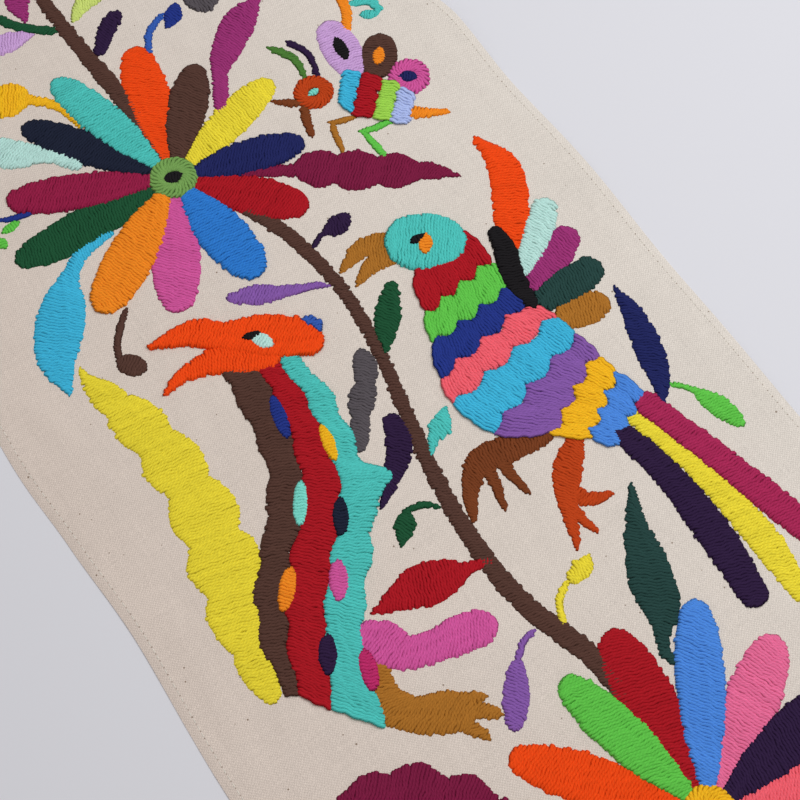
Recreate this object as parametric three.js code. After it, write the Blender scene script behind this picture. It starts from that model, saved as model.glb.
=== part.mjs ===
// A hemmed cotton table runner, lying flat on a table in the low waves of cloth just unfolded.
// Millimetres, +Z up. X runs along the runner, Y across it, and Z is 0 at the table top.
// The runner is one sheet of plain-weave cotton, turned under and stitched along all four edges.

import * as THREE from 'three';

// Finished size of the runner, hem to hem.
const LENGTH = 1000;
const WIDTH = 355;

// The cloth, and the hem that turns it under twice and slopes down to a thin pressed fold.
const CLOTH_THICKNESS = 1.2;
const HEM_THICKNESS = 1.5;
const HEM_WIDTH = 6.2;
const HEM_STEP = 1.4;
const FOLD_TOP = 0.4;
const SHOULDER_INSET = 1.4;
const SHOULDER_TOP = 0.75;
const SLOPE_WIDTH = 4.2;
const SLOPE_TOP = 1.35;

// Widest spacing of the rows of points between the hems.
const SPACING_ALONG = 18;
const SPACING_ACROSS = 15;

// The hem's section, from the outer fold inwards: distance from the fold, and height above the underside.
const HEM_SECTION = [
  { inset: 0, top: FOLD_TOP },
  { inset: SHOULDER_INSET, top: SHOULDER_TOP },
  { inset: SLOPE_WIDTH, top: SLOPE_TOP },
  { inset: HEM_WIDTH, top: HEM_THICKNESS },
  { inset: HEM_WIDTH + HEM_STEP, top: CLOTH_THICKNESS },
];

// Low waves that lift the cloth clear of the table: centre, half-length, half-width and height.
const WAVES = [
  { x: -186, y: 182, reachX: 62, reachY: 74, lift: 5.0 },
  { x: -62, y: 186, reachX: 74, reachY: 46, lift: 2.2 },
  { x: 92, y: 186, reachX: 70, reachY: 52, lift: 2.6 },
  { x: 248, y: 180, reachX: 84, reachY: 70, lift: 4.2 },
  { x: 404, y: 186, reachX: 66, reachY: 50, lift: 2.4 },
  { x: -368, y: 184, reachX: 80, reachY: 60, lift: 3.4 },
  { x: -181, y: -152, reachX: 36, reachY: 68, lift: 1.0 },
  { x: 30, y: -186, reachX: 64, reachY: 48, lift: 0.2 },
  { x: 164, y: -182, reachX: 70, reachY: 66, lift: 0.3 },
  { x: 322, y: -186, reachX: 78, reachY: 56, lift: 0.8 },
  { x: -330, y: -184, reachX: 84, reachY: 62, lift: 0.7 },
  { x: 486, y: -60, reachX: 60, reachY: 84, lift: 3.0 },
  { x: -488, y: 40, reachX: 56, reachY: 90, lift: 2.8 },
  { x: 150, y: 62, reachX: 96, reachY: 70, lift: 1.2 },
  { x: -262, y: -30, reachX: 90, reachY: 80, lift: 1.1 },
];

// How far the long edges stray from straight: middle, half-length and outward shift.
const FAR_EDGE_STRAYS = [
  { at: -360, reach: 90, shift: 1.6 },
  { at: -226, reach: 46, shift: -5.2 },
  { at: -60, reach: 90, shift: 1.9 },
  { at: 116, reach: 90, shift: -1.8 },
  { at: 280, reach: 80, shift: 1.5 },
  { at: 406, reach: 66, shift: -1.4 },
];
const NEAR_EDGE_STRAYS = [
  { at: -340, reach: 80, shift: 1.4 },
  { at: -204, reach: 70, shift: -1.6 },
  { at: -76, reach: 52, shift: 2.0 },
  { at: 28, reach: 60, shift: -2.2 },
  { at: 124, reach: 62, shift: 1.8 },
  { at: 266, reach: 80, shift: -1.6 },
  { at: 398, reach: 70, shift: 1.3 },
];

// The same for the two ends, where the middle is measured across the runner.
const START_STRAYS = [
  { at: -84, reach: 70, shift: -1.8 },
  { at: 62, reach: 80, shift: 1.5 },
];
const FINISH_STRAYS = [
  { at: -70, reach: 84, shift: 1.6 },
  { at: 80, reach: 72, shift: -1.9 },
];

// A smooth hump: 1 in the middle, 0 at the ends of its reach and beyond.
function hump(distance, reach) {
  const share = Math.abs(distance) / reach;
  return share < 1 ? Math.cos((share * Math.PI) / 2) ** 2 : 0;
}

// Height of the cloth's underside above the table.
function liftAt(x, y) {
  return WAVES.reduce(
    (sum, wave) => sum + wave.lift * hump(x - wave.x, wave.reachX) * hump(y - wave.y, wave.reachY),
    0,
  );
}

function strayAt(strays, position) {
  return strays.reduce((sum, stray) => sum + stray.shift * hump(position - stray.at, stray.reach), 0);
}

// Moves a point of the straight-edged pattern to where it lies. The strays fade towards the middle.
function laid(u, v) {
  const alongShare = (2 * u) / LENGTH;
  const acrossShare = (2 * v) / WIDTH;
  const endStray = strayAt(u < 0 ? START_STRAYS : FINISH_STRAYS, v);
  const edgeStray = strayAt(v < 0 ? NEAR_EDGE_STRAYS : FAR_EDGE_STRAYS, u);
  return {
    x: u + Math.sign(u) * endStray * alongShare ** 2,
    y: v + Math.sign(v) * edgeStray * acrossShare ** 2,
  };
}

// Rows of points across a side: close together in both hems, and evenly spaced between them.
function rowsAcross(side, spacing) {
  const half = side / 2;
  const hem = HEM_SECTION.map((row) => row.inset);
  const inner = half - hem.at(-1);
  const steps = Math.ceil((2 * inner) / spacing);
  const middle = Array.from({ length: steps - 1 }, (_, k) => -inner + (2 * inner * (k + 1)) / steps);
  const first = hem.map((inset) => inset - half);
  const last = hem.map((inset) => half - inset).reverse();
  return [...first, ...middle, ...last];
}

// Height of the upper face above the underside, by the distance from the nearest outer fold.
function topAt(inset) {
  const row = HEM_SECTION.find((candidate) => inset <= candidate.inset + 1e-6);
  return (row ?? HEM_SECTION.at(-1)).top;
}

// One closed skin: a grid of points for the upper face, one for the lower, and the fold between.
function clothGeometry() {
  const along = rowsAcross(LENGTH, SPACING_ALONG);
  const across = rowsAcross(WIDTH, SPACING_ACROSS);
  const upper = [];
  const lower = [];
  for (const u of along) {
    for (const v of across) {
      const inset = Math.min(LENGTH / 2 - Math.abs(u), WIDTH / 2 - Math.abs(v));
      const place = laid(u, v);
      const lift = liftAt(place.x, place.y);
      upper.push(place.x, place.y, lift + topAt(inset));
      lower.push(place.x, place.y, lift);
    }
  }
  const rows = along.length;
  const columns = across.length;
  const below = rows * columns;
  const at = (i, j) => i * columns + j;
  const faces = [];
  const quad = (a, b, c, d) => faces.push(a, b, c, a, c, d);
  for (let i = 0; i < rows - 1; i += 1) {
    for (let j = 0; j < columns - 1; j += 1) {
      const corners = [at(i, j), at(i + 1, j), at(i + 1, j + 1), at(i, j + 1)];
      quad(...corners);
      quad(...corners.map((index) => index + below).reverse());
    }
  }
  const rim = [];
  for (let i = 0; i < rows - 1; i += 1) rim.push(at(i, 0));
  for (let j = 0; j < columns - 1; j += 1) rim.push(at(rows - 1, j));
  for (let i = rows - 1; i > 0; i -= 1) rim.push(at(i, columns - 1));
  for (let j = columns - 1; j > 0; j -= 1) rim.push(at(0, j));
  rim.forEach((here, k) => {
    const next = rim[(k + 1) % rim.length];
    quad(here, here + below, next + below, next);
  });
  const geometry = new THREE.BufferGeometry();
  geometry.setAttribute('position', new THREE.Float32BufferAttribute([...upper, ...lower], 3));
  geometry.setIndex(faces);
  geometry.computeVertexNormals();
  return geometry;
}

// Undyed cotton muslin, a warm off-white.
const muslin = new THREE.MeshStandardMaterial({ color: 0xdad1c7, roughness: 0.95, metalness: 0 });

const cloth = new THREE.Mesh(clothGeometry(), muslin);
cloth.name = 'runner_cloth';

const runner = new THREE.Group();
runner.add(cloth);

export default runner;
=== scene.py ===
import math

import bpy
import numpy as np
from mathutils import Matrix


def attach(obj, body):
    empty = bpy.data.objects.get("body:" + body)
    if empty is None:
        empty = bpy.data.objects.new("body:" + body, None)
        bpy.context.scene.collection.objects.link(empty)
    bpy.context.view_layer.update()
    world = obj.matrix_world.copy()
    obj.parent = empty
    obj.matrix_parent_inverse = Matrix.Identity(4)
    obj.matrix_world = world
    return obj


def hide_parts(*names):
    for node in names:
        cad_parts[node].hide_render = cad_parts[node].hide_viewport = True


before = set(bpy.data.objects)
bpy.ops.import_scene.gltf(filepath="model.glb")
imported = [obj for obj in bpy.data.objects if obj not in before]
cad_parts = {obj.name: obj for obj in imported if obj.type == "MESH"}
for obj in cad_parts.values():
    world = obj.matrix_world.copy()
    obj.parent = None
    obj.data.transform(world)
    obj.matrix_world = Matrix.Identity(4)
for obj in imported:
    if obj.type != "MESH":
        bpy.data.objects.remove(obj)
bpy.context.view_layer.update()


# Runner cloth. One length of undyed cotton muslin in plain weave, its four edges turned under twice.
# It lies flat on a table, in low waves along its edges and a few soft creases left from folding.
MM = 0.001
LENGTH, WIDTH = 1000.0, 355.0
CLOTH_THICKNESS, HEM_THICKNESS = 1.2, 1.5
HEM_WIDTH, HEM_STEP = 6.2, 1.4
SEAM_INSET, SEAM_PITCH = 5.0, 4.15
HEM_FADE = 4.6
ROW_SPACING = 4.0
HEM_ROWS = [0.0, 0.6, 1.4, 2.8, 4.2, 5.0, 5.6, 6.2, 6.9, 7.6, 8.4, 9.6, 11.0]
FOLD_INSETS = [0.0, 0.6, 1.4, 2.8, 4.2, 5.0, 6.2]
FOLD_TOPS = [0.4, 0.56, 0.76, 1.07, 1.36, 1.43, HEM_THICKNESS]
RIM_ANGLE = 50

WAVES = [  # middle x, middle y, reach along x, reach along y, height
    (-186, 182, 62, 74, 5.0),
    (-62, 186, 74, 46, 2.2),
    (92, 186, 70, 52, 2.6),
    (248, 180, 84, 70, 4.2),
    (404, 186, 66, 50, 2.4),
    (-368, 184, 80, 60, 3.4),
    (-181, -152, 36, 68, 1.0),
    (30, -186, 64, 48, 0.2),
    (164, -182, 70, 66, 0.3),
    (322, -186, 78, 56, 0.8),
    (-330, -184, 84, 62, 0.7),
    (486, -60, 60, 84, 3.0),
    (-488, 40, 56, 90, 2.8),
    (150, 62, 96, 70, 1.2),
    (-262, -30, 90, 80, 1.1),
]
CREASES = [  # middle x, middle y, heading in degrees, half length, half width, height
    (-190, -136, 74, 52, 8, 0.7),
    (-84, -150, 12, 60, 9, 0.6),
    (72, -158, -6, 74, 10, 0.7),
    (196, -140, 40, 56, 9, 0.6),
    (-140, 160, 8, 58, 9, 0.6),
    (30, 160, -4, 82, 10, 0.6),
    (-30, 62, 64, 46, 8, 0.4),
    (128, 18, 58, 52, 9, 0.4),
    (-254, 40, 30, 48, 9, 0.4),
    (360, 60, 76, 70, 10, 0.6),
    (-402, -60, 100, 64, 10, 0.6),
]
FAR_EDGE_STRAYS = [  # middle x, reach, outward shift
    (-360, 90, 1.6),
    (-226, 46, -5.2),
    (-60, 90, 1.9),
    (116, 90, -1.8),
    (280, 80, 1.5),
    (406, 66, -1.4),
]
NEAR_EDGE_STRAYS = [
    (-340, 80, 1.4),
    (-204, 70, -1.6),
    (-76, 52, 2.0),
    (28, 60, -2.2),
    (124, 62, 1.8),
    (266, 80, -1.6),
    (398, 70, 1.3),
]
START_STRAYS = [(-84, 70, -1.8), (62, 80, 1.5)]  # middle y, reach, outward shift
FINISH_STRAYS = [(-70, 84, 1.6), (80, 72, -1.9)]
PUCKERS = [  # wavelength and heading of the small ripples that the stitches draw into the cloth
    (17, 20),
    (23, 75),
    (31, 130),
    (41, 165),
]
PUCKER_HEIGHT = 0.09


def hump(distance, reach):
    """1 in the middle, and 0 at the end of its reach and beyond."""
    share = np.clip(np.abs(distance) / reach, 0, 1)
    return np.cos(share * math.pi / 2) ** 2


def cloth_lift(x, y):
    """Height of the cloth's underside above the table."""
    lift = np.zeros_like(x)
    for middle_x, middle_y, reach_x, reach_y, height in WAVES:
        lift += height * hump(x - middle_x, reach_x) * hump(y - middle_y, reach_y)
    for middle_x, middle_y, heading, half_length, half_width, height in CREASES:
        cosine, sine = math.cos(math.radians(heading)), math.sin(math.radians(heading))
        ahead = (x - middle_x) * cosine + (y - middle_y) * sine
        aside = (y - middle_y) * cosine - (x - middle_x) * sine
        lift += height * hump(ahead, half_length) * hump(aside, half_width)
    return lift


def pucker(x, y):
    height = np.zeros_like(x)
    for wavelength, heading in PUCKERS:
        turn = math.radians(heading)
        phase = (x * math.cos(turn) + y * math.sin(turn)) * 2 * math.pi / wavelength
        height += PUCKER_HEIGHT * (1 + np.sin(phase + wavelength))
    return height


def cloth_top(x, y):
    """Height of the cloth's upper face inside the hems."""
    return cloth_lift(x, y) + pucker(x, y) + CLOTH_THICKNESS


def stray(strays, position):
    return sum(shift * hump(position - middle, reach) for middle, reach, shift in strays)


def laid(u, v):
    """Moves points of the straight-edged pattern to where they lie."""
    end_stray = np.where(u < 0, stray(START_STRAYS, v), stray(FINISH_STRAYS, v))
    edge_stray = np.where(v < 0, stray(NEAR_EDGE_STRAYS, u), stray(FAR_EDGE_STRAYS, u))
    x = u + np.sign(u) * end_stray * (2 * u / LENGTH) ** 2
    y = v + np.sign(v) * edge_stray * (2 * v / WIDTH) ** 2
    return x, y


def rows_across(side):
    """Rows of points across a side: close together in the hems, and even between them."""
    hem = np.array(HEM_ROWS)
    inner = side / 2 - hem[-1]
    middle = np.linspace(-inner, inner, math.ceil(2 * inner / ROW_SPACING) + 1)
    return np.concatenate([hem[:-1] - side / 2, middle, (side / 2 - hem[:-1])[::-1]])


rows_along, rows_over = rows_across(LENGTH), rows_across(WIDTH)
bpy.ops.object.select_all(action="DESELECT")
bpy.ops.mesh.primitive_grid_add(
    x_subdivisions=len(rows_along) - 1, y_subdivisions=len(rows_over) - 1, size=2
)
cloth = bpy.context.active_object
cloth.name = cloth.data.name = "muslin_runner"
grid = np.empty(3 * len(cloth.data.vertices))
cloth.data.vertices.foreach_get("co", grid)
grid = grid.reshape(-1, 3)
u = rows_along[np.rint((grid[:, 0] + 1) / 2 * (len(rows_along) - 1)).astype(int)]
v = rows_over[np.rint((grid[:, 1] + 1) / 2 * (len(rows_over) - 1)).astype(int)]
inset = np.minimum(LENGTH / 2 - np.abs(u), WIDTH / 2 - np.abs(v))
x, y = laid(u, v)
hem_clear = 1 - hump(np.maximum(inset - HEM_WIDTH + HEM_STEP, 0), HEM_STEP + HEM_FADE)
upper = np.interp(inset, FOLD_INSETS, FOLD_TOPS) + cloth_lift(x, y)
upper += hem_clear * (pucker(x, y) + CLOTH_THICKNESS - HEM_THICKNESS)
lower = cloth_lift(x, y)
thickness = cloth.modifiers.new("Thickness", "SOLIDIFY")
thickness.thickness = CLOTH_THICKNESS * MM
thickness.offset = -1
bpy.ops.object.modifier_apply(modifier=thickness.name)
both = np.stack([np.tile(x, 2), np.tile(y, 2), np.concatenate([upper, lower])], 1) * MM
cloth.data.vertices.foreach_set("co", both.ravel())
pattern = np.stack([np.tile(u, 2), np.tile(v, 2), np.zeros(2 * len(u))], 1)
pattern_values = cloth.data.attributes.new("pattern", "FLOAT_VECTOR", "POINT")
pattern_values.data.foreach_set("vector", pattern.ravel())
cloth.data.update()
bpy.ops.object.shade_smooth()
cloth.data.set_sharp_from_angle(angle=math.radians(RIM_ANGLE))


class Wire:
    """A socket of a finish's nodes. Arithmetic on wires and numbers adds Math nodes."""

    def __init__(self, tree, socket=None):
        self.tree, self.socket = tree, socket

    def node(self, kind, settings=None, sockets=None, out=0):
        """Adds a node of that type: its settings first, then its sockets' values or links."""
        made = self.tree.nodes.new(kind)
        for name, value in (settings or {}).items():
            setattr(made, name, value)
        for name, value in (sockets or {}).items():
            if isinstance(value, Wire):
                self.tree.links.new(value.socket, made.inputs[name])
            else:
                made.inputs[name].default_value = value
        return Wire(self.tree, made.outputs[out])

    def math(self, operation, *values, clamp=False):
        settings = {"operation": operation, "use_clamp": clamp}
        return self.node("ShaderNodeMath", settings, dict(enumerate(values)))

    def mix(self, factor, first, second, blend="MIX"):
        """Mixes two colours."""
        settings = {"data_type": "RGBA", "blend_type": blend}
        return self.node("ShaderNodeMix", settings, {0: factor, 6: first, 7: second}, out=2)

    def feed(self, shader, socket):
        self.tree.links.new(self.socket, shader.inputs[socket])

    def __add__(self, other):
        return self.math("ADD", self, other)

    def __radd__(self, other):
        return self.math("ADD", other, self)

    def __sub__(self, other):
        return self.math("SUBTRACT", self, other)

    def __rsub__(self, other):
        return self.math("SUBTRACT", other, self)

    def __mul__(self, other):
        return self.math("MULTIPLY", self, other)


def new_finish(name):
    """A material, a wire to start its nodes from, and its shader."""
    material = bpy.data.materials.new(name)
    material.use_nodes = True
    return material, Wire(material.node_tree), material.node_tree.nodes["Principled BSDF"]


THREAD_PITCH = 0.84
NEEDLE_HOLE = 0.5
# The near edge's colour is painted shade: the muslin drawn darker and warmer where less of the lamp's light
# reaches.
MUSLIN, NEAR_EDGE_PAINTED_SHADE = (0.846, 0.77, 0.688, 1), (0.818, 0.692, 0.603, 1)  # the far edge's own colour, and the near edge's painted shade
# Dark seed flecks in the cotton, also used as painted shade in the needle holes.
FLECK_AND_HOLE_SHADE = (0.20, 0.12, 0.07, 1)

muslin, start, shader = new_finish("undyed_muslin")
place = start.node("ShaderNodeTexCoord", out="Object")
in_mm = start.node("ShaderNodeVectorMath", {"operation": "MULTIPLY"}, {0: place, 1: (1 / MM,) * 3})
pattern_place = start.node("ShaderNodeAttribute", {"attribute_name": "pattern"}, out="Vector")
pattern_x = start.node("ShaderNodeSeparateXYZ", sockets={0: pattern_place}, out="X")
pattern_y = start.node("ShaderNodeSeparateXYZ", sockets={0: pattern_place}, out="Y")
along_x = start.node("ShaderNodeSeparateXYZ", sockets={0: in_mm}, out="X")
along_y = start.node("ShaderNodeSeparateXYZ", sockets={0: in_mm}, out="Y")
wander = start.node("ShaderNodeTexNoise", sockets={"Vector": in_mm, "Scale": 0.35, "Detail": 1.0})
weft_wave = start.math("SINE", along_x * (math.pi / THREAD_PITCH) + wander * 4)
warp_wave = start.math("SINE", along_y * (math.pi / THREAD_PITCH) + wander * 4)
checks = weft_wave * warp_wave
warp_over = start.math("MULTIPLY_ADD", checks, 2.0, 0.5, clamp=True)
warp_crown, weft_crown = start.math("ABSOLUTE", warp_wave), start.math("ABSOLUTE", weft_wave)
weave = warp_over * warp_crown + (1 - warp_over) * weft_crown
stretch_x = start.node("ShaderNodeVectorMath", {"operation": "MULTIPLY"}, {0: in_mm, 1: (0.06, 1.3, 1)})
stretch_y = start.node("ShaderNodeVectorMath", {"operation": "MULTIPLY"}, {0: in_mm, 1: (1.3, 0.06, 1)})
warp_slubs = start.node("ShaderNodeTexNoise", sockets={"Vector": stretch_x, "Scale": 1.0, "Detail": 2.0})
weft_slubs = start.node("ShaderNodeTexNoise", sockets={"Vector": stretch_y, "Scale": 1.0, "Detail": 2.0})
grain = start.node("ShaderNodeTexNoise", sockets={"Vector": in_mm, "Scale": 3.0, "Detail": 1.0})
clouds = start.node("ShaderNodeTexNoise", sockets={"Vector": in_mm, "Scale": 0.012, "Detail": 2.0})
# The checks term is painted light and shade on the weave: threads drawn lighter where they lie over and
# catch the lamp. Slubs, grain and clouds are the cotton's own uneven tone.
shade = 0.45 + checks * 0.12 + (warp_slubs + weft_slubs) * 0.14 + grain * 0.64 + clouds * 0.08
shade_colour = start.node("ShaderNodeCombineColor", sockets={0: shade, 1: shade, 2: shade})
# Painted shade: the colour fades from the near edge's painted shade to the muslin's own colour at the far
# edge.
far_share = start.math("MULTIPLY_ADD", pattern_y, 1 / WIDTH, 0.5, clamp=True)
muslin_with_painted_shade = start.mix(1.0, start.mix(far_share, NEAR_EDGE_PAINTED_SHADE, MUSLIN), shade_colour, "MULTIPLY")
seeds = {"Vector": in_mm, "Scale": 0.15}
seed_distance = start.node("ShaderNodeTexVoronoi", sockets=seeds, out="Distance")
seed_colour = start.node("ShaderNodeTexVoronoi", sockets=seeds, out="Color")
seed_size = start.node("ShaderNodeSeparateColor", sockets={0: seed_colour}, out=0)
fleck = start.math("MULTIPLY", seed_size * 0.15 - 0.05 - seed_distance, 30.0, clamp=True)


def needle_holes(along, inset):
    """Painted shade where the seam's needle went down: even steps along an edge, at the seam's inset."""
    step = start.math("PINGPONG", along, SEAM_PITCH / 2)
    aside = start.math("ABSOLUTE", inset - SEAM_INSET)
    away = start.math("SQRT", step * step + aside * aside)
    return start.math("MULTIPLY", NEEDLE_HOLE - away, 5.0, clamp=True)


from_end = LENGTH / 2 - start.math("ABSOLUTE", pattern_x)
from_edge = WIDTH / 2 - start.math("ABSOLUTE", pattern_y)
holes = start.math("MAXIMUM", needle_holes(pattern_x, from_edge), needle_holes(pattern_y, from_end))
# Seed flecks are the cotton's own colour; the needle holes are painted shade.
flecks_and_hole_shade = start.math("MAXIMUM", fleck * 0.8, holes * wander * 1.1)
start.mix(flecks_and_hole_shade, muslin_with_painted_shade, FLECK_AND_HOLE_SHADE).feed(shader, "Base Color")
relief = weave + (warp_slubs + weft_slubs) * 0.8 + grain * 0.6 - holes
bump = {"Height": relief, "Strength": 0.5, "Distance": 0.2 * MM}
start.node("ShaderNodeBump", sockets=bump).feed(shader, "Normal")
(0.88 + grain * 0.1).feed(shader, "Roughness")
shader.inputs["Specular IOR Level"].default_value = 0.2
shader.inputs["Sheen Weight"].default_value = 0.1
cloth.data.materials.append(muslin)
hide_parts("runner_cloth")
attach(cloth, "root")


# Hem stitching. One row of ivory sewing cotton in machine stitches, through the folded hem near its
# inner edge, all round the runner. Every stitch is a short piece of thread that dips into the cloth.
SEAM_STITCH, SEAM_SINK = 3.3, 0.16
SEAM_THREAD = {"width": 0.6, "height": 0.4}
SECTION_ACROSS = np.array([-1.0, 0.0, 1.0])
SECTION_UP = np.array([-1.2, 0.8, -1.2])
END_DIP, END_RISE = 0.4, 1.5
DIP_SHARE, RISE_SHARE = 0.1, 0.25
RINGS = 17
SWAY_LENGTHS, SWAY_REACH, SWAY_DRIFT = (6.8, 13.0), 0.095, 0.35
SWAY, UNEVEN = 0.03, 0.09
TONE_SPREAD, GIRTH_SPREAD = 0.025, 0.04
SHORTEST_STITCH, FULL_STITCH = 0.1, 3.0
PAD_SHARE, MOST_PAD = 0.025, 0.5
CELL_TALLNESS, CELL_SIDE, CELL_END, CAP_REACH = 6, 0.08, 0.06, 0.02
random = np.random.default_rng(20)


def along_stitch(*end):
    """Values for the rings of a stitch: the given ones at both ends, and 1 between them."""
    return np.array([*end, *[1.0] * (RINGS - 2 * len(end)), *end[::-1]])


RING_HEIGHTS = along_stitch(-0.7, 0.35, 0.88)
RING_WIDTHS = along_stitch(0.62, 0.8, 0.94)
RING_FREE = along_stitch(0, 0.3, 0.7)
RING_LAYER = along_stitch(0, 0.6)
RING_PAD = along_stitch(0, 0.15, 0.45, 0.7, 0.85, 0.94)


def linear(red, green, blue):
    """A colour's light from its 0 to 255 screen values."""
    screen = np.array([red, green, blue]) / 255
    return np.where(screen < 0.04045, screen / 12.92, ((screen + 0.055) / 1.055) ** 2.4)


def stitches(start, end, colour, layer, overshoot=0.0, ragged=0.0):
    """A row for each stitch: its two ends, its colour, the height it starts from and its bow."""
    span = end - start
    length = np.hypot(*span.T)[:, None]
    ahead = span / np.maximum(length, SHORTEST_STITCH)
    fullness = np.minimum(1, length / FULL_STITCH)
    before, after = random.normal(overshoot, ragged, (2, len(start), 1)) * fullness
    tone = random.normal(1, TONE_SPREAD, (len(start), 1))
    return {
        "start": start - ahead * before,
        "end": end + ahead * after,
        "colour": np.clip(colour * tone, 0, 1),
        "layer": np.full(len(start), layer),
        "bow": np.zeros(len(start)),
    }


def bake_map(mesh, count, run):
    """Lays the stitches out side by side, each in a tall cell of its own, for baked textures."""
    rows = max(1, math.ceil(math.sqrt(count / CELL_TALLNESS)))
    columns = math.ceil(count / rows)
    column, row = np.divmod(np.arange(count), rows)
    sides = len(SECTION_ACROSS)
    around = CELL_SIDE + (1 - 2 * CELL_SIDE) * np.arange(sides + 1) / sides
    lengthwise = CELL_END + (1 - 2 * CELL_END) * run[..., None]
    rightward, upward = (column[:, None, None] + around) / columns, (row[:, None, None] + lengthwise) / rows
    spots = np.stack(np.broadcast_arrays(rightward, upward), -1)
    tube = np.stack([spots[:, :-1, :-1], spots[:, :-1, 1:], spots[:, 1:, 1:], spots[:, 1:, :-1]], 3)
    caps = spots[:, [0, -1], :-1] + np.array([[0, 0], [0, CAP_REACH], [0, 0]]) / rows
    places = np.concatenate([tube.reshape(-1, 2), caps.reshape(-1, 2)])
    mesh.uv_layers.new(name="OFBake").data.foreach_set("uv", places.ravel())


def sway_along(run):
    """How far each stitch bends aside along its run. Neighbours bend nearly together."""
    sway = random.normal(0, SWAY, run.shape)
    for wave in SWAY_LENGTHS:
        drift = np.cumsum(random.normal(0, SWAY_DRIFT, len(run)))
        sway += SWAY_REACH * np.sin(run * 2 * math.pi / wave + drift[:, None])
    return sway


def hem_top(x, y):
    """Height of the hem's upper face at its seam."""
    return cloth_lift(x, y) + np.interp(SEAM_INSET, FOLD_INSETS, FOLD_TOPS)


def sew(name, fills, thread, material, ground):
    """Joins stitches into one piece. Each is a thread that rises out of the cloth and dips back."""
    parts = ("start", "end", "colour", "layer", "bow")
    first, last, colour, layer, bow = (np.concatenate([fill[part] for fill in fills]) for part in parts)
    count, sides = len(first), len(SECTION_ACROSS)
    span = last - first
    length = np.hypot(*span.T)
    ahead = span / length[:, None]
    aside = np.stack([-ahead[:, 1], ahead[:, 0]], 1)
    dip, rise = np.minimum(END_DIP, DIP_SHARE * length), np.minimum(END_RISE, RISE_SHARE * length)
    half = length / 2
    shares = np.linspace(0, 1, RINGS // 2 - 1)[:-1]
    before = np.column_stack([0 * length, dip, rise[:, None] + (half - rise)[:, None] * shares])
    run = np.concatenate([before, half[:, None], length[:, None] - before[:, ::-1]], 1)
    done = run / length[:, None]
    shift = sway_along(run) * RING_FREE * thread["width"] + 4 * bow[:, None] * done * (1 - done)
    middle = first[:, None] + ahead[:, None] * run[..., None] + aside[:, None] * shift[..., None]
    pad = np.minimum(MOST_PAD, PAD_SHARE * length)[:, None] * RING_PAD
    uneven = random.normal(0, UNEVEN * thread["height"], (count, RINGS)) * RING_FREE
    height = ground(middle[..., 0], middle[..., 1]) + layer[:, None] * RING_LAYER + pad + uneven
    height += thread["height"] / 2 * RING_HEIGHTS
    girth = RING_WIDTHS * random.normal(1, GIRTH_SPREAD, (count, 1))
    sideways = thread["width"] / 2 * girth[..., None] * SECTION_ACROSS
    points = np.empty((count, RINGS, sides, 3))
    points[..., :2] = middle[:, :, None] - aside[:, None, None] * sideways[..., None]
    points[..., 2] = height[..., None] + thread["height"] / 2 * girth[..., None] * SECTION_UP
    index = np.arange(count * RINGS * sides).reshape(count, RINGS, sides)
    after = np.roll(index, -1, 2)
    tube = np.stack([index[:, :-1], after[:, :-1], after[:, 1:], index[:, 1:]], -1)
    caps = np.stack([index[:, 0, ::-1], index[:, -1]], 1)
    mesh = bpy.data.meshes.new(name)
    faces = tube.reshape(-1, 4).tolist() + caps.reshape(-1, sides).tolist()
    mesh.from_pydata(points.reshape(-1, 3) * MM, [], faces)
    dyed = np.ones((count, RINGS * sides, 4))
    dyed[..., :3] = colour[:, None]
    mesh.attributes.new("thread_colour", "FLOAT_COLOR", "POINT").data.foreach_set("color", dyed.ravel())
    around, number = np.arange(sides) / sides, np.arange(count)[:, None, None]
    strand = np.stack(np.broadcast_arrays(run[..., None], around, number), -1)
    mesh.attributes.new("strand", "FLOAT_VECTOR", "POINT").data.foreach_set("vector", strand.ravel())
    bake_map(mesh, count, done)
    mesh.polygons.foreach_set("use_smooth", np.ones(len(mesh.polygons), bool))
    mesh.materials.append(material)
    piece = bpy.data.objects.new(name, mesh)
    bpy.context.collection.objects.link(piece)
    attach(piece, "root")
    return piece


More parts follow.
